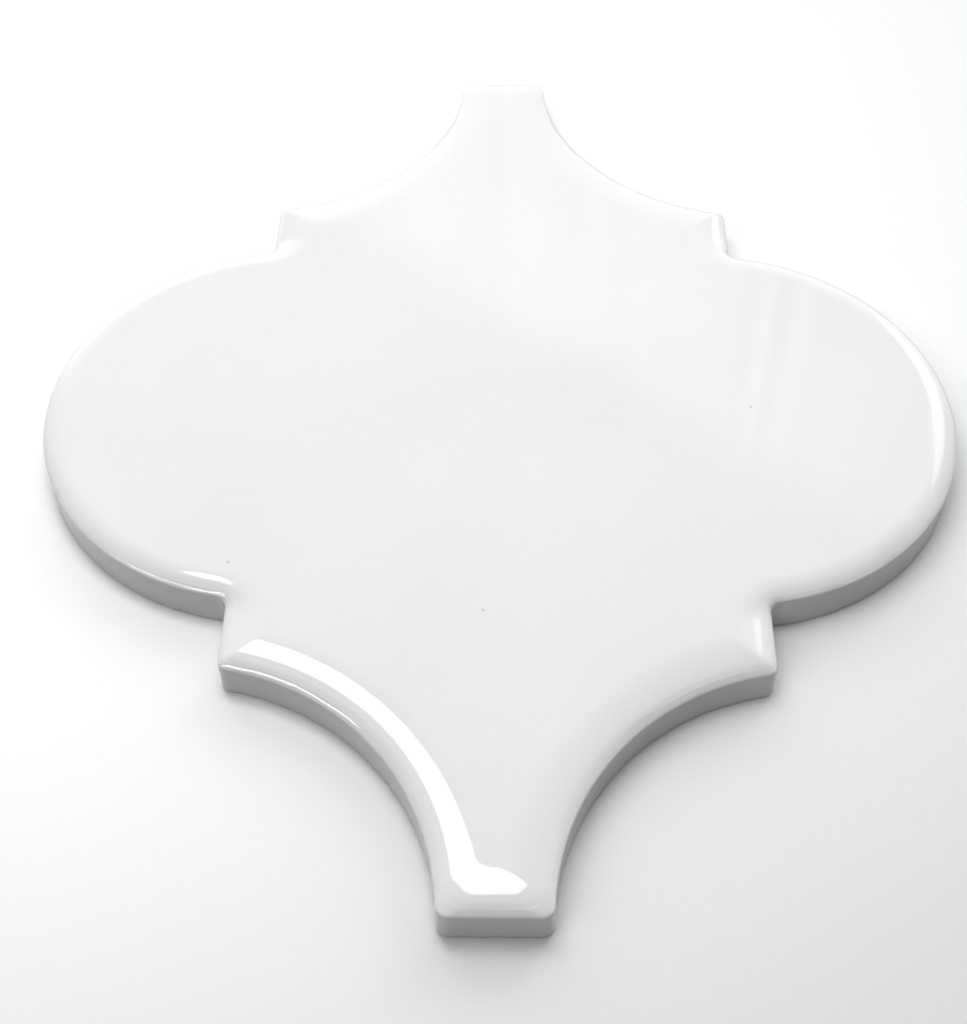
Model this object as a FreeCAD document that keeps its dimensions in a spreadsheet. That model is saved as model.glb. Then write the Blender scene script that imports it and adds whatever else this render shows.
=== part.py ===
"""Arabesque wall tile: one pressed and glazed ceramic piece with a cushioned face.

Frame: millimetres, +Z up. The back lies on z = 0 and the origin is the middle of the back.
The long axis of the tile runs along Y, from neck to neck, and its two lobes point along X.
One quarter of the tile is modelled and then mirrored in both of its planes of symmetry.
"""
import FreeCAD, Part
import math
import os
import Sketcher

V = FreeCAD.Vector
UP = V(0, 0, 1)

# Driving dimensions, in millimetres
SIZES = {
    "overall_length": 200.0,
    "overall_width": 168.0,
    "overall_thickness": 9.0,
    "neck_width": 18.0,
    "cove_radius": 43.6,
    "lobe_radius": 43.2,
    "flank_offset": 46.0,
    "corner_radius": 2.0,
    "hollow_radius": 2.0,
    "cushion_width": 8.0,
    "cushion_drop": 1.1,
    "arris_radius": 1.6,
    "foot_chamfer": 0.6,
    "key_width": 7.0,
    "key_pitch": 15.0,
    "key_depth": 0.7,
    "key_margin": 10.0,
}

# How far a cutting profile reaches past the wall and above the face that it trims
OVERCUT = 1.0

# Places that follow from the driving dimensions, as expressions
HALF_LENGTH = "Sizes.overall_length / 2"
HALF_WIDTH = "Sizes.overall_width / 2"
LOBE_X = "(Sizes.overall_width / 2 - Sizes.lobe_radius)"
COVE_X = "(Sizes.neck_width / 2 + Sizes.cove_radius)"

# The hollow: the inner corner between lobe and flank, rounded about an axis outside the tile
HOLLOW_RUN = f"(Sizes.flank_offset + Sizes.hollow_radius - {LOBE_X})"
HOLLOW_REACH = "(Sizes.lobe_radius + Sizes.hollow_radius)"
HOLLOW_Y = f"sqrt({HOLLOW_REACH} ^ 2 - {HOLLOW_RUN} ^ 2)"
HOLLOW_ANGLE = f"acos({HOLLOW_RUN} / {HOLLOW_REACH})"

# The shoulder: the outer corner between flank and cove. The tip: the one between cove and neck end
CORNER_REACH = "(Sizes.cove_radius + Sizes.corner_radius)"
SHOULDER_RUN = f"({COVE_X} - Sizes.flank_offset + Sizes.corner_radius)"
SHOULDER_Y = f"({HALF_LENGTH} - sqrt({CORNER_REACH} ^ 2 - {SHOULDER_RUN} ^ 2))"
SHOULDER_ANGLE = f"acos({SHOULDER_RUN} / {CORNER_REACH})"
TIP_X = f"({COVE_X} - sqrt({CORNER_REACH} ^ 2 - Sizes.corner_radius ^ 2))"
TIP_ANGLE = f"acos(Sizes.corner_radius / {CORNER_REACH})"

# The cushion is an arc that leaves the flat of the face smoothly and drops to the rim
CUSHION_RADIUS = "(Sizes.cushion_width ^ 2 + Sizes.cushion_drop ^ 2) / (2 * Sizes.cushion_drop)"

doc = FreeCAD.newDocument("arabesque_tile")
sheet = doc.addObject("Spreadsheet::Sheet", "Sizes")
for row, (alias, value) in enumerate(SIZES.items(), start=1):
    sheet.set(f"A{row}", alias)
    sheet.set(f"B{row}", str(value))
    sheet.setAlias(f"B{row}", alias)
doc.recompute()

body = doc.addObject("PartDesign::Body", "arabesque_tile")
body.Label = "arabesque_tile"


def size(alias):
    """Value of one driving dimension, read from the sheet."""
    return float(getattr(sheet, alias))


def worked_out(expression):
    """Value of an expression, as a plain number."""
    return float(sheet.evalExpression(expression))


def origin_plane(role):
    """Origin plane of the body with this role."""
    return next(item for item in body.Origin.OriginFeatures if item.Role == role)


def new_sketch(name, role, place):
    """Empty sketch on an origin plane, moved along the sketch's own axes by expressions."""
    sketch = body.newObject("Sketcher::SketchObject", name)
    sketch.AttachmentSupport = [(origin_plane(role), "")]
    sketch.MapMode = "FlatFace"
    for axis, expression in place.items():
        sketch.setExpression(f"AttachmentOffset.Base.{axis}", expression)
    doc.recompute()
    return sketch


def relate(sketch, kind, *relations):
    """Add geometric constraints of one kind."""
    for where in relations:
        sketch.addConstraint(Sketcher.Constraint(kind, *where))


def bind(sketch, kind, *where, expression):
    """Add one dimension to a sketch and tie it to the sheet."""
    index = sketch.addConstraint(Sketcher.Constraint(kind, *where, worked_out(expression)))
    sketch.setExpression(f"Constraints[{index}]", expression)


def finish_feature(feature, cuts=False):
    """Recompute, and stop if the feature failed or was meant to cut and took nothing off."""
    before = feature.BaseFeature.Shape.Volume if cuts else 0.0
    doc.recompute()
    if "Invalid" in feature.State or "Error" in feature.State or not feature.Shape.isValid():
        raise RuntimeError(f"{feature.Name} failed")
    if cuts and feature.Shape.Volume > before - 1e-3:
        raise RuntimeError(f"{feature.Name} cut nothing")
    return feature


# Blank: the quarter outline at full thickness

def draw_quarter_outline(sketch):
    """Both axes, the lobe, the flank, the cove and the end of the neck."""
    length, width = worked_out(HALF_LENGTH), worked_out(HALF_WIDTH)
    neck, flank = size("neck_width") / 2, size("flank_offset")
    cove, lobe = size("cove_radius"), size("lobe_radius")
    lobe_centre = V(worked_out(LOBE_X), 0, 0)
    cove_centre = V(worked_out(COVE_X), length, 0)
    inner = V(flank, math.sqrt(lobe ** 2 - (flank - lobe_centre.x) ** 2), 0)
    outer = V(flank, length - math.sqrt(cove ** 2 - (cove_centre.x - flank) ** 2), 0)
    lobe_end = math.atan2(inner.y, inner.x - lobe_centre.x)
    cove_end = 2 * math.pi + math.atan2(outer.y - length, outer.x - cove_centre.x)
    sketch.addGeometry([
        Part.LineSegment(V(0, 0, 0), V(width, 0, 0)),
        Part.ArcOfCircle(Part.Circle(lobe_centre, UP, lobe), 0, lobe_end),
        Part.LineSegment(inner, outer),
        Part.ArcOfCircle(Part.Circle(cove_centre, UP, cove), math.pi, cove_end),
        Part.LineSegment(V(neck, length, 0), V(0, length, 0)),
        Part.LineSegment(V(0, length, 0), V(0, 0, 0)),
    ])
    across, lobe_arc, flank_line, cove_arc, end_line, along = range(6)
    relate(sketch, "Coincident",
           (across, 2, lobe_arc, 1), (lobe_arc, 2, flank_line, 1), (flank_line, 2, cove_arc, 2),
           (cove_arc, 1, end_line, 1), (end_line, 2, along, 1), (along, 2, across, 1), (across, 1, -1, 1))
    relate(sketch, "Horizontal", (across,), (end_line,), (cove_arc, 3, end_line, 1))
    relate(sketch, "Vertical", (flank_line,), (along,))
    relate(sketch, "PointOnObject", (lobe_arc, 3, -1))
    bind(sketch, "Distance", across, expression=HALF_WIDTH)
    bind(sketch, "Distance", along, expression=HALF_LENGTH)
    bind(sketch, "Distance", end_line, expression="Sizes.neck_width / 2")
    bind(sketch, "Radius", lobe_arc, expression="Sizes.lobe_radius")
    bind(sketch, "Radius", cove_arc, expression="Sizes.cove_radius")
    bind(sketch, "DistanceX", -1, 1, flank_line, 1, expression="Sizes.flank_offset")


outline = new_sketch("quarter_outline", "XY_Plane", {})
draw_quarter_outline(outline)
blank = body.newObject("PartDesign::Pad", "blank")
blank.Profile = outline
blank.setExpression("Length", "Sizes.overall_thickness")
finish_feature(blank)


# Edges, found by where they lie

def edge_names(base, wanted):
    """Names of the edges of a feature that pass a test."""
    numbered = enumerate(base.Shape.Edges, start=1)
    return [f"Edge{number}" for number, edge in numbered if wanted(edge, base.Shape)]


def dress_edges(kind, name, base, wanted, dimension, alias):
    """Fillet or chamfer on the edges of a feature that pass a test, with its size from the sheet."""
    dressed = body.newObject(f"PartDesign::{kind}", name)
    dressed.Base = (base, edge_names(base, wanted))
    dressed.setExpression(dimension, f"Sizes.{alias}")
    return finish_feature(dressed)


def in_mirror_plane(edge):
    """True for an edge in one of the two planes of symmetry."""
    return edge.BoundBox.XMax < 1e-6 or edge.BoundBox.YMax < 1e-6


def is_upright(edge, shape):
    """True for a corner of the outline, away from the planes of symmetry."""
    box = edge.BoundBox
    return box.XLength + box.YLength < 1e-6 and box.XMin > 1e-6 and box.YMin > 1e-6


def is_hollow(edge, shape):
    """True for the inner corner, where the lobe meets the flank."""
    point = edge.CenterOfMass
    reach = math.hypot(point.x - worked_out(LOBE_X), point.y)
    return is_upright(edge, shape) and abs(reach - size("lobe_radius")) < 1e-3


def is_wall(face):
    """True for a face that stands square to the back."""
    u_low, u_high, v_low, v_high = face.ParameterRange
    return abs(face.normalAt((u_low + u_high) / 2, (v_low + v_high) / 2).z) < 1e-6


def is_rim(edge, shape):
    """True for an edge along the top of the walls."""
    walls = [face for face in shape.ancestorsOfType(edge, Part.Face) if is_wall(face)]
    high = edge.BoundBox.ZMin > size("overall_thickness") / 2
    return high and len(walls) == 1 and not in_mirror_plane(edge)


def is_foot(edge, shape):
    """True for an edge along the bottom of the walls."""
    return edge.BoundBox.ZMax < 1e-6 and not in_mirror_plane(edge)


hollow = dress_edges("Fillet", "hollow", blank, is_hollow, "Radius", "hollow_radius")
dress_edges("Fillet", "corners", hollow, is_upright, "Radius", "corner_radius")


# Cushion: the face is cut down towards the rim, by one profile that follows each stretch of the outline

def draw_cushion_profile(sketch, reach):
    """Section of what is cut off, from past the wall at x = 0 to as far in as the named size says."""
    width, drop, top = size("cushion_width"), size("cushion_drop"), size("overall_thickness")
    radius = worked_out(CUSHION_RADIUS)
    centre = V(-width, top - radius, 0)
    start = math.acos((width + OVERCUT) / radius)
    finish = math.acos((width - size(reach)) / radius)
    low = centre + V(math.cos(start), math.sin(start), 0) * radius
    high = centre + V(math.cos(finish), math.sin(finish), 0) * radius
    roof_in, roof_out = V(high.x, top + OVERCUT, 0), V(OVERCUT, top + OVERCUT, 0)
    sketch.addGeometry([
        Part.ArcOfCircle(Part.Circle(centre, UP, radius), start, finish),
        Part.LineSegment(high, roof_in),
        Part.LineSegment(roof_in, roof_out),
        Part.LineSegment(roof_out, low),
        Part.Point(V(0, top - drop, 0)),
    ])
    curve, inner, roof, outer, rim = range(5)
    relate(sketch, "Coincident",
           (curve, 2, inner, 1), (inner, 2, roof, 1), (roof, 2, outer, 1), (outer, 2, curve, 1))
    relate(sketch, "Vertical", (inner,), (outer,))
    relate(sketch, "Horizontal", (roof,))
    relate(sketch, "PointOnObject", (rim, 1, -2), (rim, 1, curve))
    bind(sketch, "DistanceY", -1, 1, rim, 1, expression="Sizes.overall_thickness - Sizes.cushion_drop")
    bind(sketch, "DistanceX", curve, 3, -1, 1, expression="Sizes.cushion_width")
    bind(sketch, "Radius", curve, expression=CUSHION_RADIUS)
    bind(sketch, "DistanceX", inner, 1, -1, 1, expression=f"Sizes.{reach}")
    bind(sketch, "DistanceY", -1, 1, roof, 2, expression=f"Sizes.overall_thickness + {OVERCUT}")
    bind(sketch, "DistanceX", -1, 1, roof, 2, expression=str(OVERCUT))


def straight_cushion(name, role, place, length, reverse):
    """Cushion along a straight stretch, pushed out from its sketch."""
    sketch = new_sketch(f"{name}_profile", role, place)
    draw_cushion_profile(sketch, "cushion_width")
    pocket = body.newObject("PartDesign::Pocket", name)
    pocket.Profile = sketch
    pocket.Reversed = reverse
    pocket.setExpression("Length", length)
    return finish_feature(pocket, cuts=True)


def turned_cushion(name, role, place, turn, angle, axis_outside=False, reach="cushion_width", way="forward"):
    """Cushion round a curved stretch, turned about an upright axis that lies one radius from the wall."""
    sketch = new_sketch(f"{name}_profile", role, place)
    draw_cushion_profile(sketch, reach)
    axis_x = size(turn) if axis_outside else -size(turn)
    axis = sketch.addGeometry(Part.LineSegment(V(axis_x, 0, 0), V(axis_x, OVERCUT, 0)), True)
    relate(sketch, "Vertical", (axis,))
    relate(sketch, "PointOnObject", (axis, 1, -1))
    bind(sketch, "Distance", axis, expression=str(OVERCUT))
    span = (-1, 1, axis, 1) if axis_outside else (axis, 1, -1, 1)
    bind(sketch, "DistanceX", *span, expression=f"Sizes.{turn}")
    groove = body.newObject("PartDesign::Groove", name)
    groove.Profile = sketch
    groove.ReferenceAxis = (sketch, ["Axis0"])
    groove.Midplane = way == "both ways"
    groove.Reversed = way == "backward"
    groove.setExpression("Angle", angle)
    return finish_feature(groove, cuts=True)


at_lobe = {"x": HALF_WIDTH}
at_hollow = {"x": "Sizes.flank_offset", "z": f"-{HOLLOW_Y}"}
at_cove = {"x": "Sizes.neck_width / 2", "z": f"-{HALF_LENGTH}"}
at_end = {"x": HALF_LENGTH}
at_shoulder = {"x": "Sizes.flank_offset", "z": f"-{SHOULDER_Y}"}
at_tip = {"x": HALF_LENGTH, "z": TIP_X}

turned_cushion("lobe_cushion", "XZ_Plane", at_lobe, "lobe_radius", f"2 * {HOLLOW_ANGLE}", way="both ways")
turned_cushion("hollow_cushion", "XZ_Plane", at_hollow, "hollow_radius", HOLLOW_ANGLE, axis_outside=True)
straight_cushion("flank_cushion", "XZ_Plane", at_hollow, f"{HALF_LENGTH} - {HOLLOW_Y}", reverse=False)
turned_cushion("cove_cushion", "XZ_Plane", at_cove, "cove_radius", "180", axis_outside=True)
straight_cushion("end_cushion", "YZ_Plane", at_end, COVE_X, reverse=True)
turned_cushion("shoulder_cushion", "XZ_Plane", at_shoulder, "corner_radius", SHOULDER_ANGLE, reach="corner_radius")
tip = turned_cushion("tip_cushion", "YZ_Plane", at_tip, "corner_radius", TIP_ANGLE,
                     reach="corner_radius", way="backward")

arris = dress_edges("Fillet", "arris", tip, is_rim, "Radius", "arris_radius")
dress_edges("Chamfer", "foot", arris, is_foot, "Size", "foot_chamfer")


# Back: shallow straight grooves that key the tile to its adhesive, kept clear of the edges

def key_end(outer):
    """Expression for where a groove ends, a margin short of the lobe or of the cove."""
    lobe_end = f"sqrt((Sizes.lobe_radius - Sizes.key_margin) ^ 2 - ({outer} - {LOBE_X}) ^ 2)"
    cove_reach = "(Sizes.cove_radius + Sizes.key_margin)"
    cove_end = f"({HALF_LENGTH} - sqrt({cove_reach} ^ 2 - ({COVE_X} - {outer}) ^ 2))"
    in_lobe = worked_out(outer) > size("flank_offset") - size("key_margin")
    return lobe_end if in_lobe else cove_end


def draw_keys(sketch):
    """One rectangle for each groove, from the short axis to its end."""
    room = worked_out(HALF_WIDTH) - size("key_margin") - size("key_width")
    count = int(room // size("key_pitch"))
    for number in range(count):
        middle = f"Sizes.key_pitch * {number + 0.5}"
        inner, outer = f"({middle} - Sizes.key_width / 2)", f"({middle} + Sizes.key_width / 2)"
        left, right, end = worked_out(inner), worked_out(outer), worked_out(key_end(outer))
        points = [V(left, 0, 0), V(right, 0, 0), V(right, end, 0), V(left, end, 0)]
        first = sketch.GeometryCount
        sketch.addGeometry([Part.LineSegment(points[i], points[(i + 1) % 4]) for i in range(4)])
        low, far, high, near = range(first, first + 4)
        relate(sketch, "Coincident", (low, 2, far, 1), (far, 2, high, 1), (high, 2, near, 1), (near, 2, low, 1))
        relate(sketch, "Horizontal", (low,), (high,))
        relate(sketch, "Vertical", (far,), (near,))
        relate(sketch, "PointOnObject", (low, 1, -1))
        bind(sketch, "DistanceX", -1, 1, low, 1, expression=inner)
        bind(sketch, "Distance", low, expression="Sizes.key_width")
        bind(sketch, "Distance", far, expression=key_end(outer))


keys_sketch = new_sketch("keys_plan", "XY_Plane", {})
draw_keys(keys_sketch)
keys = body.newObject("PartDesign::Pocket", "keys")
keys.Profile = keys_sketch
keys.Reversed = True
keys.setExpression("Length", "Sizes.key_depth")
finish_feature(keys, cuts=True)


# Whole tile: the quarter mirrored across its width and then along its length

def mirror_all(name, role):
    """Everything so far together with its mirror image in an origin plane."""
    mirrored = body.newObject("PartDesign::Mirrored", name)
    mirrored.TransformMode = "Whole shape"
    mirrored.MirrorPlane = (origin_plane(role), [""])
    body.Tip = mirrored
    return finish_feature(mirrored)


mirror_all("half", "YZ_Plane")
mirror_all("whole", "XZ_Plane")

for item in doc.Objects:
    if "Invalid" in item.State or "Error" in item.State:
        raise RuntimeError(f"{item.Name} failed")
if body.Shape.isNull() or not body.Shape.isValid() or len(body.Shape.Solids) != 1:
    raise RuntimeError("the tile is not one valid solid")

os.makedirs("parts", exist_ok=True)
body.Shape.exportStep("parts/arabesque_tile.step")
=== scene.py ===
import math

import bmesh
import bpy
from mathutils import Matrix, Quaternion, Vector


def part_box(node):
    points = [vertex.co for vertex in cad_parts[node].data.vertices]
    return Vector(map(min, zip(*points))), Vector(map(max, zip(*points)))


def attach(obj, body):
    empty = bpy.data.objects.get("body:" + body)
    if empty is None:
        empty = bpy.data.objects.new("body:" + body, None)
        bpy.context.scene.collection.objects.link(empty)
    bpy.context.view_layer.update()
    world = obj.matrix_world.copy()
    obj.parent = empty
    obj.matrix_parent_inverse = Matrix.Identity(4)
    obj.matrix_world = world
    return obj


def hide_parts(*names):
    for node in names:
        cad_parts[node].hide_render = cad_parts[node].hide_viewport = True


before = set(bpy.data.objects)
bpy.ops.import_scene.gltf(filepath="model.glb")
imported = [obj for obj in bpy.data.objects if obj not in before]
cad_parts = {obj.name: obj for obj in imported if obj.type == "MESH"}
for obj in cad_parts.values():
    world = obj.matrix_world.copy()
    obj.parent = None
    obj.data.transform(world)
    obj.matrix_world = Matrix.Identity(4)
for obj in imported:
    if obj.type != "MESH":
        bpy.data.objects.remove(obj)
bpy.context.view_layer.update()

MM = 0.001
NODE = "arabesque_tile"


# Sizes of the tile in millimetres, as in its solid

HALF_WIDTH, HALF_LENGTH, THICKNESS = [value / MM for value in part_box(NODE)[1]]
HALF_NECK = 9.0
COVE_RADIUS = 43.6
LOBE_RADIUS = 43.2
FLANK = 46.0
CORNER_RADIUS = 2.0
HOLLOW_RADIUS = 2.0
KEY_WIDTH = 7.0
KEY_PITCH = 15.0
KEY_DEPTH = 0.7
KEY_MARGIN = 10.0
KEY_COUNT = 4

LOBE_X = HALF_WIDTH - LOBE_RADIUS
COVE_X = HALF_NECK + COVE_RADIUS


# Softer forms of the fired edge in millimetres, which the solid has more plainly

FOOT_RADIUS = 0.9
WALL_LEAN = 0.1

# The edge above the wall, as arcs from the arris to the crown: the radius of each and the degrees it ends at
COVE_EDGE = [(0.6, 39), (7.0, 32), (1.8, 27), (7.0, 22), (3.6, 13), (27.0, 0)]
LOBE_EDGE = [(0.5, 40), (4.5, 32), (1.8, 25), (12.0, 22), (5.0, 11), (10.0, 0)]

# How the contours of the edge open round the hollows and the tips and close at the shoulders, going inwards
HOLLOW_SPREAD = 1.8
HOLLOW_MOST = 9.0
TIP_SWELL = 1.6
TIP_REACH = 2.6
TIP_SPARE = 0.3
SHOULDER_CLOSE = 0.6
SHOULDER_LEAST = 0.5
SHOULDER_OPEN = 0.03

# Bands of height that are slightly uneven, and the grain and swing of each
FOOT_BAND = (0.15, 1.3)
BELOW_ARRIS = 0.4
ABOVE_ARRIS = 0.5
ABOVE_FACE = 1.0
FACE_WAVE = (24, 0.05)
ARRIS_WAVE = (5, 0.12)
FOOT_WAVE = (1.5, 0.25)


# How finely the tile is divided

COVE_EDGE_STEPS = (8, 4, 4, 4, 5, 13)
LOBE_EDGE_STEPS = (5, 4, 3)
FOOT_STEPS = 4
WALL_STEPS = 6
LOBE_STEPS = 76
HOLLOW_STEPS = 10
CORNER_STEPS = 12
COVE_STEPS = 74
FLANK_CUTS = 11
END_CUTS = 5
CROWN_RIM = 0.6
CROWN_GRID = 5.0
SMOOTH_ANGLE = 35

# Slack of the tests on place, in metres
PLACE_SLACK = 2e-7
AXIS_SLACK = 1e-7
RUN_SLACK = 1e-6

# Distances of the tests and of the merging, in millimetres
RUN_REACH = 10.0
FLANK_LEAST = 1.2
BACK_SLACK = 0.001
MIRROR_MERGE = 0.001
DOUBLE_MERGE = 0.0005


# Section of the edge: foot, wall, arris and cushion

def edge_arcs(edge):
    """The arcs of an edge from the wall up: radius, tilts, and inset and height where each starts."""
    tilt = math.radians(90)
    inset = WALL_LEAN
    rise = 0.0
    arcs = []
    for radius, end in edge:
        end_tilt = math.radians(end)
        arcs.append((radius, tilt, end_tilt, inset, rise))
        inset += radius * (math.sin(tilt) - math.sin(end_tilt))
        rise += radius * (math.cos(end_tilt) - math.cos(tilt))
        tilt = end_tilt
    return [(radius, start, end, inset, THICKNESS - rise + low) for radius, start, end, inset, low in arcs]


def wall_top(edge):
    """The height at which an edge leaves the wall."""
    return edge_arcs(edge)[0][4]


def edge_heights(edge, steps):
    """The heights of an edge's steps, with this many steps to each of its arcs."""
    heights = []
    for (radius, start, end, _, low), count in zip(edge_arcs(edge), steps):
        turns = [start + (end - start) * step / count for step in range(1, count + 1)]
        heights += [low + radius * (math.cos(turn) - math.cos(start)) for turn in turns]
    return heights


def edge_inset(edge, height):
    """How far in from the outline an edge lies at a height."""
    top = wall_top(edge)
    if height < FOOT_RADIUS:
        return FOOT_RADIUS - math.sqrt(FOOT_RADIUS ** 2 - (FOOT_RADIUS - height) ** 2)
    if height <= top:
        return WALL_LEAN * (height - FOOT_RADIUS) / (top - FOOT_RADIUS)
    radius, start, _, inset, low = [arc for arc in edge_arcs(edge) if arc[4] < height][-1]
    turn = math.acos(min(math.cos(start) + (height - low) / radius, 1))
    return inset + radius * (math.sin(start) - math.sin(turn))


def edge_rings():
    """Inset of the coves, inset of the lobes and height of each ring, from the foot to the crown."""
    top = wall_top(COVE_EDGE)
    foot_turns = [math.radians(90 / FOOT_STEPS * step) for step in range(FOOT_STEPS)]
    heights = [FOOT_RADIUS * (1 - math.cos(turn)) for turn in foot_turns]
    heights += [FOOT_RADIUS + (top - FOOT_RADIUS) * step / WALL_STEPS for step in range(WALL_STEPS + 1)]
    heights += edge_heights(COVE_EDGE, COVE_EDGE_STEPS)
    heights += edge_heights(LOBE_EDGE, LOBE_EDGE_STEPS)
    heights.sort()
    rings = [(edge_inset(COVE_EDGE, height), edge_inset(LOBE_EDGE, height), height) for height in heights]
    cove_inset, lobe_inset, crown = rings[-1]
    return rings + [(cove_inset + CROWN_RIM, lobe_inset + CROWN_RIM, crown)]


# Drawing a quarter of the outline, from the end of the lobe to the end of the neck

def place_point(x, y, z):
    """One selected point, from a small plane merged at its centre."""
    bpy.ops.mesh.select_mode(type="VERT")
    bpy.ops.mesh.select_all(action="DESELECT")
    bpy.ops.mesh.primitive_plane_add(size=MM, location=(x * MM, y * MM, z * MM))
    bpy.ops.mesh.merge(type="CENTER")


def draw_arc(x, y, z, turn, steps):
    """Carries the selected point round a centre, leaving edges behind it."""
    bpy.ops.mesh.spin(steps=steps, angle=-turn, center=(x * MM, y * MM, z * MM), axis=(0, 0, 1))


def draw_run(x, y):
    """Carries the selected point straight to a place at its own height, leaving an edge behind it."""
    mesh = bmesh.from_edit_mesh(bpy.context.edit_object.data)
    start = next(point.co for point in mesh.verts if point.select)
    move = (x * MM - start.x, y * MM - start.y, 0)
    bpy.ops.mesh.extrude_region_move(TRANSFORM_OT_translate={"value": move})


def hollow_round(inset, lobe_inset):
    """Radius of the hollow, which fans out across the cushion."""
    return min(HOLLOW_RADIUS + HOLLOW_SPREAD * (inset + lobe_inset) / 2, HOLLOW_MOST)


def shoulder_round(inset):
    """Radius of the shoulder, which tightens to a soft mitre across the cushion."""
    return max(CORNER_RADIUS - SHOULDER_CLOSE * inset, SHOULDER_LEAST + SHOULDER_OPEN * inset)


def tip_round(inset):
    """Radius of the tips of the neck, which swells across the arris and shrinks again towards the crown."""
    full = (COVE_X ** 2 - COVE_RADIUS ** 2) / (2 * COVE_RADIUS) - inset
    swell = TIP_SWELL * inset * math.exp(-(inset / TIP_REACH) ** 2)
    return min(CORNER_RADIUS + swell, full - TIP_SPARE)


def draw_outline(inset, lobe_inset, height):
    """A quarter of the tile's outline, moved in by the two insets, at that height."""
    hollow = hollow_round(inset, lobe_inset)
    hollow_x = FLANK - inset + hollow
    hollow_y = math.sqrt((LOBE_RADIUS - lobe_inset + hollow) ** 2 - (hollow_x - LOBE_X) ** 2)
    hollow_turn = math.atan2(hollow_y, hollow_x - LOBE_X)
    cove = COVE_RADIUS + inset
    shoulder = shoulder_round(inset)
    shoulder_x = FLANK - inset - shoulder
    shoulder_rise = math.sqrt((cove + shoulder) ** 2 - (COVE_X - shoulder_x) ** 2)
    shoulder_y = HALF_LENGTH - shoulder_rise
    shoulder_turn = math.atan2(shoulder_rise, COVE_X - shoulder_x)
    tip = tip_round(inset)
    tip_y = HALF_LENGTH - inset - tip
    tip_turn = math.asin((inset + tip) / (cove + tip))
    tip_x = COVE_X - (cove + tip) * math.cos(tip_turn)
    place_point(HALF_WIDTH - lobe_inset, 0, height)
    draw_arc(LOBE_X, 0, height, hollow_turn, LOBE_STEPS)
    draw_arc(hollow_x, hollow_y, height, -hollow_turn, HOLLOW_STEPS)
    draw_run(FLANK - inset, shoulder_y)
    draw_arc(shoulder_x, shoulder_y, height, shoulder_turn, CORNER_STEPS)
    draw_arc(COVE_X, HALF_LENGTH, height, tip_turn - shoulder_turn, COVE_STEPS)
    draw_arc(tip_x, tip_y, height, math.pi / 2 - tip_turn, CORNER_STEPS)
    draw_run(0, HALF_LENGTH - inset)


# Choosing what an operator works on, by its place

def choose(piece, kind, wanted):
    """Selects only the points, edges or faces that the test picks."""
    bpy.ops.mesh.select_mode(type=kind)
    bpy.ops.mesh.select_all(action="DESELECT")
    mesh = bmesh.from_edit_mesh(piece.data)
    items = {"VERT": mesh.verts, "EDGE": mesh.edges, "FACE": mesh.faces}[kind]
    for item in items:
        if wanted(item):
            item.select_set(True)
    mesh.select_flush_mode()
    bmesh.update_edit_mesh(piece.data)


def is_near(value, size):
    """True if a coordinate in metres is at this size in millimetres."""
    return abs(value - size * MM) < PLACE_SLACK


def level_edges(*heights):
    """A test for edges that lie level at one of these heights."""
    def wanted(edge):
        return any(all(is_near(end.co.z, height) for end in edge.verts) for height in heights)
    return wanted


def level_faces(height):
    """A test for faces that lie flat at this height."""
    def wanted(face):
        return all(is_near(corner.co.z, height) for corner in face.verts)
    return wanted


def is_flank_edge(edge):
    """True for the straight edges along the flank."""
    start, end = edge.verts
    straight = abs(start.co.x - end.co.x) < RUN_SLACK and is_near(start.co.z - end.co.z, 0)
    return straight and start.co.x > (FLANK - RUN_REACH) * MM and edge.calc_length() > FLANK_LEAST * MM


def is_end_edge(edge):
    """True for the straight edges along the end of the neck."""
    start, end = edge.verts
    straight = abs(start.co.y - end.co.y) < RUN_SLACK and is_near(start.co.z - end.co.z, 0)
    at_end = start.co.y > (HALF_LENGTH - RUN_REACH) * MM
    return straight and at_end and min(start.co.x, end.co.x) < AXIS_SLACK


def close_quarter(piece, ring):
    """Fills the quarter inside this ring, as far as both axes."""
    inset, _, height = ring
    is_level = level_edges(height)

    def is_neck_end(point):
        on_axis = is_near(point.co.x, 0) and is_near(point.co.y, HALF_LENGTH - inset)
        return on_axis and is_near(point.co.z, height)

    def bounds_quarter(edge):
        if not is_level(edge):
            return False
        on_x_axis = all(is_near(end.co.y, 0) for end in edge.verts)
        on_y_axis = all(is_near(end.co.x, 0) for end in edge.verts)
        is_rim = len(edge.link_faces) == 1 and not on_x_axis and not on_y_axis
        return is_rim or not edge.link_faces

    choose(piece, "VERT", is_neck_end)
    draw_run(0, 0)
    choose(piece, "EDGE", bounds_quarter)
    bpy.ops.mesh.edge_face_add()


def cut_faces(piece, wanted, place, direction):
    """Cuts the chosen faces along a straight line."""
    choose(piece, "FACE", wanted)
    bpy.ops.mesh.bisect(plane_co=[value * MM for value in place], plane_no=direction)


# Grooves of the back

def key_reach(number):
    """Inner side, outer side and end of a groove, which stops a margin short of the outline."""
    middle = KEY_PITCH * (number + 0.5)
    outer = middle + KEY_WIDTH / 2
    if outer > FLANK - KEY_MARGIN:
        end = math.sqrt((LOBE_RADIUS - KEY_MARGIN) ** 2 - (outer - LOBE_X) ** 2)
    else:
        end = HALF_LENGTH - math.sqrt((COVE_RADIUS + KEY_MARGIN) ** 2 - (COVE_X - outer) ** 2)
    return middle - KEY_WIDTH / 2, outer, end


def in_key(face):
    """True for the faces of the back that lie in a groove."""
    place = face.calc_center_median() / MM
    if abs(place.z) > BACK_SLACK:
        return False
    reaches = [key_reach(number) for number in range(KEY_COUNT)]
    return any(inner < abs(place.x) < outer and abs(place.y) < end for inner, outer, end in reaches)


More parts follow.
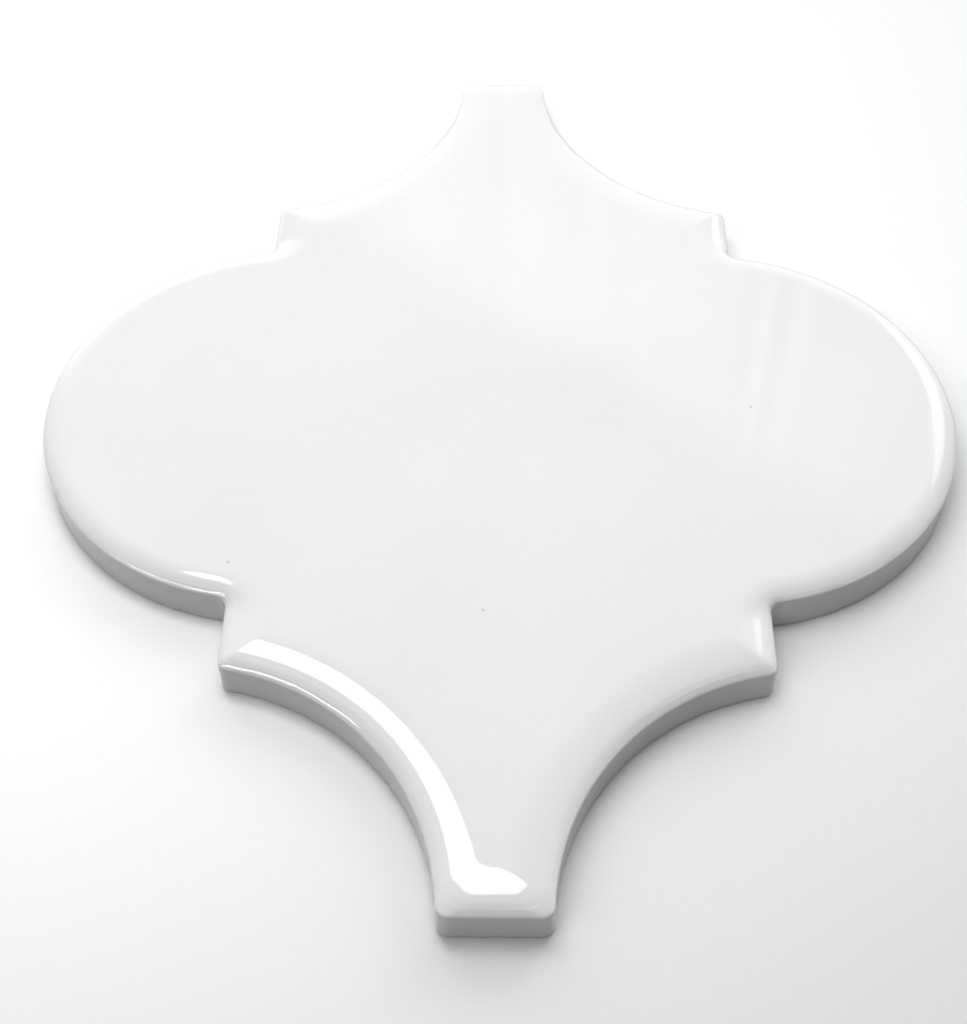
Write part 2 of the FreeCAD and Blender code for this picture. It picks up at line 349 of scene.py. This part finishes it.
def cut_keys(piece):
    """Cuts the back of the quarter where the grooves will lie."""
    for number in range(KEY_COUNT):
        inner, outer, end = key_reach(number)
        for side in (inner, outer):
            cut_faces(piece, level_faces(0), (side, 0, 0), (1, 0, 0))

        def in_strip(face):
            place = face.calc_center_median() / MM
            return abs(place.z) < BACK_SLACK and inner < place.x < outer

        cut_faces(piece, in_strip, (0, end, 0), (0, 1, 0))


def sink_keys(piece):
    """Presses the grooves into the back."""
    choose(piece, "FACE", in_key)
    bpy.ops.mesh.extrude_region_move(TRANSFORM_OT_translate={"value": (0, 0, KEY_DEPTH * MM)})


# The tile: an edge bridged from ring to ring, with a flat crown and a keyed back

def add_modifier(piece, kind, **settings):
    """Adds a modifier with these settings and applies it."""
    modifier = piece.modifiers.new(kind.title(), kind)
    for name, value in settings.items():
        setattr(modifier, name, value)
    bpy.ops.object.modifier_apply(modifier=modifier.name)


def keep_band(piece, name, low, high):
    """Names the band of points between two heights, for the waviness that it gets later."""
    piece.vertex_groups.new(name=name)
    choose(piece, "VERT", lambda point: low * MM < point.co.z < high * MM)
    bpy.ops.object.vertex_group_assign()


def roughen(piece, band, grain, swing):
    """Moves a band of points in and out along its normals, by a soft cloud of this grain and swing."""
    cloud = bpy.data.textures.new(band, "CLOUDS")
    cloud.noise_scale = grain * MM
    cloud.noise_depth = 1
    add_modifier(piece, "DISPLACE", texture=cloud, texture_coords="LOCAL", direction="NORMAL",
                 vertex_group=band, strength=swing * MM, mid_level=0.5)


def start_mesh(name):
    """A new empty mesh object at the origin, in edit mode."""
    bpy.ops.object.select_all(action="DESELECT")
    bpy.ops.mesh.primitive_plane_add(size=MM)
    piece = bpy.context.object
    piece.name = name
    piece.data.name = name
    bpy.ops.object.mode_set(mode="EDIT")
    bpy.ops.mesh.delete(type="VERT")
    return piece


def model_tile():
    """The tile: a quarter drawn ring by ring and closed, then mirrored, keyed and made slightly uneven."""
    rings = edge_rings()
    arris_low = wall_top(COVE_EDGE) - BELOW_ARRIS
    arris_high = wall_top(LOBE_EDGE) + ABOVE_ARRIS
    piece = start_mesh("glazed_arabesque_tile")
    draw_outline(*rings[0])
    for lower, upper in zip(rings, rings[1:]):
        draw_outline(*upper)
        choose(piece, "EDGE", level_edges(lower[2], upper[2]))
        bpy.ops.mesh.bridge_edge_loops()
    choose(piece, "EDGE", is_flank_edge)
    bpy.ops.mesh.subdivide(number_cuts=FLANK_CUTS)
    choose(piece, "EDGE", is_end_edge)
    bpy.ops.mesh.subdivide(number_cuts=END_CUTS)
    keep_band(piece, "foot", *FOOT_BAND)
    keep_band(piece, "arris", arris_low, arris_high)

    close_quarter(piece, rings[-1])
    for step in range(1, int(HALF_WIDTH // CROWN_GRID)):
        cut_faces(piece, level_faces(THICKNESS), (step * CROWN_GRID, 0, 0), (1, 0, 0))
    for step in range(1, int(HALF_LENGTH // CROWN_GRID)):
        cut_faces(piece, level_faces(THICKNESS), (0, step * CROWN_GRID, 0), (0, 1, 0))
    keep_band(piece, "face", arris_low, THICKNESS + ABOVE_FACE)
    close_quarter(piece, rings[0])
    cut_keys(piece)
    bpy.ops.object.mode_set(mode="OBJECT")

    add_modifier(piece, "MIRROR", use_axis=(True, True, False), merge_threshold=MIRROR_MERGE * MM)
    bpy.ops.object.mode_set(mode="EDIT")
    sink_keys(piece)
    bpy.ops.mesh.select_all(action="SELECT")
    bpy.ops.mesh.remove_doubles(threshold=DOUBLE_MERGE * MM)
    bpy.ops.mesh.normals_make_consistent(inside=False)
    bpy.ops.object.mode_set(mode="OBJECT")
    roughen(piece, "face", *FACE_WAVE)
    roughen(piece, "arris", *ARRIS_WAVE)
    roughen(piece, "foot", *FOOT_WAVE)
    bpy.ops.object.shade_smooth_by_angle(angle=math.radians(SMOOTH_ANGLE))
    return piece


# Building finishes from nodes

def new_finish(name):
    """A new material, with its node tree and its shader."""
    material = bpy.data.materials.new(name)
    material.use_nodes = True
    tree = material.node_tree
    return material, tree, tree.nodes["Principled BSDF"]


def add_node(tree, kind, links=(), **settings):
    """Adds a node, sets its inputs and properties, and links other outputs into it."""
    node = tree.nodes.new(kind)
    for name, value in settings.items():
        if name in node.inputs:
            node.inputs[name].default_value = value
        else:
            setattr(node, name, value)
    for name, output in links:
        tree.links.new(output, node.inputs[name])
    return node


def object_place(tree):
    """The place on the piece, in its own coordinates."""
    return tree.nodes.new("ShaderNodeTexCoord").outputs["Object"]


def join_values(tree, operation, first, second):
    """Works out one value from two others by an operation."""
    node = add_node(tree, "ShaderNodeMath", operation=operation)
    tree.links.new(first, node.inputs[0])
    tree.links.new(second, node.inputs[1])
    return node.outputs["Value"]


def add_measure(tree, operation, place, mark):
    """Measures a place against a fixed vector."""
    node = add_node(tree, "ShaderNodeVectorMath", [("Vector", place)], operation=operation)
    node.inputs[1].default_value = mark
    return node.outputs["Value"]


def add_range(tree, value, ends):
    """Carries a value from one range to another: the lowest and highest of the first, then of the second."""
    node = add_node(tree, "ShaderNodeMapRange", [("Value", value)])
    for name, end in zip(("From Min", "From Max", "To Min", "To Max"), ends):
        node.inputs[name].default_value = end
    return node.outputs["Result"]


def add_ramp(tree, value, stops):
    """Turns a value into a colour, by stops that each have a position and a colour."""
    node = add_node(tree, "ShaderNodeValToRGB", [("Fac", value)])
    ramp = node.color_ramp.elements
    while len(ramp) < len(stops):
        ramp.new(0.5)
    for stop, (position, color) in zip(ramp, stops):
        stop.position = position
        stop.color = (*color, 1)
    return node.outputs["Color"]


# Finishes of the tile

GLAZE_INDEX = 1.55
GLAZE_TONES = [(0.3, (0.82, 0.82, 0.82)), (0.7, (0.85, 0.85, 0.85))]
GLAZE_ROUGHNESS = (0.025, 0.06)
BISQUE_TONES = [(0.3, (0.62, 0.6, 0.56)), (0.7, (0.74, 0.72, 0.68))]
BISQUE_ROUGHNESS = 0.85
BISQUE_TOP = 0.75

# Pinholes and specks in the glaze, in millimetres, and how each fades into it; the darkening is the specks'
# own colour and, at the pinholes, painted shade standing in for the shade in their pits
SPECKS_AND_PIT_SHADE = [(46.3, 0.7, 9.0), (-46.1, -36.4, 9.0), (-2.5, -45.9, 9.0), (-69.3, -32.4, 5.9), (-54.9, -40.8, 1.2),
          (70.4, -31.4, 4.1)]
SPECK_CORE = 0.1
SPECK_EDGE = 0.45
SPECK_SHADE = 0.72


def glaze_finish():
    """White gloss glaze that pools faintly, with a few dark specks, partly painted shade for pinhole pits."""
    material, tree, shader = new_finish("white_gloss_glaze")
    shader.inputs["IOR"].default_value = GLAZE_INDEX
    place = object_place(tree)
    pool = add_node(tree, "ShaderNodeTexNoise", [("Vector", place)], Scale=28.0, Detail=2.0).outputs["Fac"]
    tone = add_ramp(tree, pool, GLAZE_TONES)
    gaps = [add_measure(tree, "DISTANCE", place, [value * MM for value in speck]) for speck in SPECKS_AND_PIT_SHADE]
    fade_ends = (SPECK_CORE * MM, SPECK_EDGE * MM, SPECK_SHADE, 1.0)
    fades = [add_range(tree, gap, fade_ends) for gap in gaps]
    clear = fades[0]
    for fade in fades[1:]:
        clear = join_values(tree, "MULTIPLY", clear, fade)
    # The specks darken the glaze tone; at the pinholes this darkening is painted shade.
    specks_and_pit_shaded = add_node(tree, "ShaderNodeVectorMath", [("Vector", tone), ("Scale", clear)], operation="SCALE")
    tree.links.new(specks_and_pit_shaded.outputs["Vector"], shader.inputs["Base Color"])
    gloss = add_range(tree, pool, (0.0, 1.0, *GLAZE_ROUGHNESS))
    tree.links.new(gloss, shader.inputs["Roughness"])
    return material


def bisque_finish():
    """Bare pressed clay with a fine grain."""
    material, tree, shader = new_finish("pressed_bisque")
    place = object_place(tree)
    grain = add_node(tree, "ShaderNodeTexNoise", [("Vector", place)], Scale=900.0, Detail=4.0).outputs["Fac"]
    tone = add_ramp(tree, grain, BISQUE_TONES)
    tree.links.new(tone, shader.inputs["Base Color"])
    shader.inputs["Roughness"].default_value = BISQUE_ROUGHNESS
    bump = add_node(tree, "ShaderNodeBump", [("Height", grain)], Strength=0.4, Distance=0.0002)
    tree.links.new(bump.outputs["Normal"], shader.inputs["Normal"])
    return material


tile = model_tile()
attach(tile, "root")
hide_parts(NODE)
tile.data.materials.append(glaze_finish())
tile.data.materials.append(bisque_finish())
for face in tile.data.polygons:
    face.material_index = 1 if face.center.z < BISQUE_TOP * MM else 0


# Floor: pale, with painted shade darkening it towards the near right and a painted glow, seen only by the
# camera, that fades out towards the near right; dimmer in the light that it throws on the tile

FLOOR_RADIUS = 3.0
FLOOR_WAY = (1.0, -1.9, 0.0)
FLOOR_SHADE = (0.02, 0.3, 0.98, 0.8)
FLOOR_GLOW = (-0.2, 0.26, 0.17, 0.0)
FLOOR_BOUNCE = 0.25

bpy.ops.object.select_all(action="DESELECT")
bpy.ops.mesh.primitive_circle_add(vertices=96, radius=FLOOR_RADIUS, fill_type="NGON")
floor = bpy.context.object
floor.name = "pale_floor"
floor_finish, floor_tree, floor_shader = new_finish("pale_floor")
floor_shader.inputs["Roughness"].default_value = 0.9
floor_shader.inputs["Specular IOR Level"].default_value = 0.1
floor_sight = floor_tree.nodes.new("ShaderNodeLightPath").outputs
floor_along = add_measure(floor_tree, "DOT_PRODUCT", object_place(floor_tree), FLOOR_WAY)
# Painted shade: the floor's colour darkens towards the near right, standing in for light falling off.
floor_shade = add_range(floor_tree, floor_along, FLOOR_SHADE)
# Painted light: a camera-only glow, strongest away from the near right.
floor_glow = add_range(floor_tree, floor_along, FLOOR_GLOW)
floor_shown = join_values(floor_tree, "MAXIMUM", floor_sight["Is Camera Ray"], floor_sight["Is Glossy Ray"])
floor_tone = add_node(floor_tree, "ShaderNodeMix", [("Factor", floor_shown), ("B", floor_shade)],
                      data_type="FLOAT", A=FLOOR_BOUNCE)
floor_tree.links.new(floor_tone.outputs["Result"], floor_shader.inputs["Base Color"])
floor_seen = join_values(floor_tree, "MULTIPLY", floor_glow, floor_sight["Is Camera Ray"])
floor_shader.inputs["Emission Color"].default_value = (1, 1, 1, 1)
floor_tree.links.new(floor_seen, floor_shader.inputs["Emission Strength"])
floor.data.materials.append(floor_finish)


# Sky: pale, brighter away from the camera, with a folded window that only the gloss shows

SKY = [(0.0, 0.15), (0.35, 0.17), (0.5, 0.3), (0.72, 0.45), (0.9, 1.6), (1.0, 1.2)]
SKY_STRENGTH = 1.1
WINDOW_EDGE = (0.5105, 0.6057, -0.6104)
WINDOW_PANE = (0.0, 0.03, 0.0, 1.5)

world = bpy.data.worlds.new("studio")
bpy.context.scene.world = world
world.use_nodes = True
sky = world.node_tree
sky_place = sky.nodes.new("ShaderNodeTexCoord").outputs["Generated"]
sky_split = add_node(sky, "ShaderNodeSeparateXYZ", [("Vector", sky_place)]).outputs
sky_along = add_range(sky, sky_split["Y"], (-1.0, 1.0, 0.0, 1.0))
sky_tone = add_ramp(sky, sky_along, [(position, (level, level, level)) for position, level in SKY])
window_edge = add_measure(sky, "DOT_PRODUCT", sky_place, WINDOW_EDGE)
window_pane = add_range(sky, window_edge, WINDOW_PANE)
window_along = join_values(sky, "DIVIDE", sky_split["X"], sky_split["Y"])
window_fold = add_node(sky, "ShaderNodeTexNoise", noise_dimensions="1D", Scale=60.0, Detail=1.0)
sky.links.new(window_along, window_fold.inputs["W"])
window_light = join_values(sky, "MULTIPLY", window_pane, window_fold.outputs["Fac"])
sky_sight = sky.nodes.new("ShaderNodeLightPath").outputs
window_mirrored = join_values(sky, "MULTIPLY", window_light, sky_sight["Is Glossy Ray"])
sky_level = join_values(sky, "ADD", sky_tone, window_mirrored)
sky_light = sky.nodes["Background"]
sky_light.inputs["Strength"].default_value = SKY_STRENGTH
sky.links.new(sky_level, sky_light.inputs["Color"])


# Lamps: a low softbox above the tile, a strip at the left and a tall softbox behind

PANEL_HEIGHT = 300
PANEL_CORNERS = [(68, -23), (67, -11), (-127, 102), (-147, 59), (-142, 46), (-55, -54), (-12, -78), (16, -74)]
PANEL_LEVEL = 6.5
STRIP_PLACE = (-1.42, -0.93, 1.5)
STRIP_TURN = Quaternion((0, 0, 1), math.radians(-21.4))
STRIP_WIDTH = 1.5
STRIP_HEIGHT = 0.22
STRIP_LEVEL = 12.0
TALL_PLACE = (0.744, 1.068, 0.855)
TALL_AIM = (0.07, 0.03, 0)
TALL_TURN = (Vector(TALL_AIM) - Vector(TALL_PLACE)).to_track_quat("-Z", "Y")
TALL_WIDTH = 0.37
TALL_HEIGHT = 0.69
TALL_LEVEL = 2.4


def add_softbox(name, place, turn, width, height, level):
    """A rectangular softbox at a place, turned from facing straight down, that looks this bright."""
    lamp = bpy.data.lights.new(name, "AREA")
    lamp.shape = "RECTANGLE"
    lamp.size = width
    lamp.size_y = height
    lamp.energy = math.pi * width * height * level
    softbox = bpy.data.objects.new(name, lamp)
    bpy.context.scene.collection.objects.link(softbox)
    softbox.matrix_world = Matrix.Translation(place) @ turn.to_matrix().to_4x4()


key_panel = start_mesh("low_softbox")
place_point(*PANEL_CORNERS[-1], PANEL_HEIGHT)
for x, y in PANEL_CORNERS:
    draw_run(x, y)
bpy.ops.mesh.select_all(action="SELECT")
bpy.ops.mesh.remove_doubles()
bpy.ops.mesh.edge_face_add()
bpy.ops.object.mode_set(mode="OBJECT")
key_panel.visible_camera = False
panel_finish, _, panel_shader = new_finish("softbox_cloth")
panel_shader.inputs["Emission Color"].default_value = (1, 1, 1, 1)
panel_shader.inputs["Emission Strength"].default_value = PANEL_LEVEL
key_panel.data.materials.append(panel_finish)

add_softbox("left_strip", STRIP_PLACE, STRIP_TURN, STRIP_WIDTH, STRIP_HEIGHT, STRIP_LEVEL)
add_softbox("tall_softbox", TALL_PLACE, TALL_TURN, TALL_WIDTH, TALL_HEIGHT, TALL_LEVEL)


# Camera, at the photograph's place and angle

LENS = 56.83
SENSOR = 36.0
SHIFT = -0.0131
NEAR = 0.01
EYE = (0.00014, -0.20263, 0.22854)
PITCH = 51.0
TURN = 0.17
ROLL = 0.44

camera = bpy.data.objects.new("camera", bpy.data.cameras.new("camera"))
bpy.context.scene.collection.objects.link(camera)
camera.data.sensor_fit = "VERTICAL"
camera.data.sensor_height = SENSOR
camera.data.lens = LENS
camera.data.shift_x = SHIFT
camera.data.clip_start = NEAR
turn_left = Matrix.Rotation(math.radians(TURN), 4, "Z")
tip_down = Matrix.Rotation(math.radians(90 - PITCH), 4, "X")
roll = Matrix.Rotation(math.radians(ROLL), 4, "Z")
camera.matrix_world = Matrix.Translation(EYE) @ turn_left @ tip_down @ roll
bpy.context.scene.camera = camera

bpy.context.scene.view_settings.view_transform = "Standard"
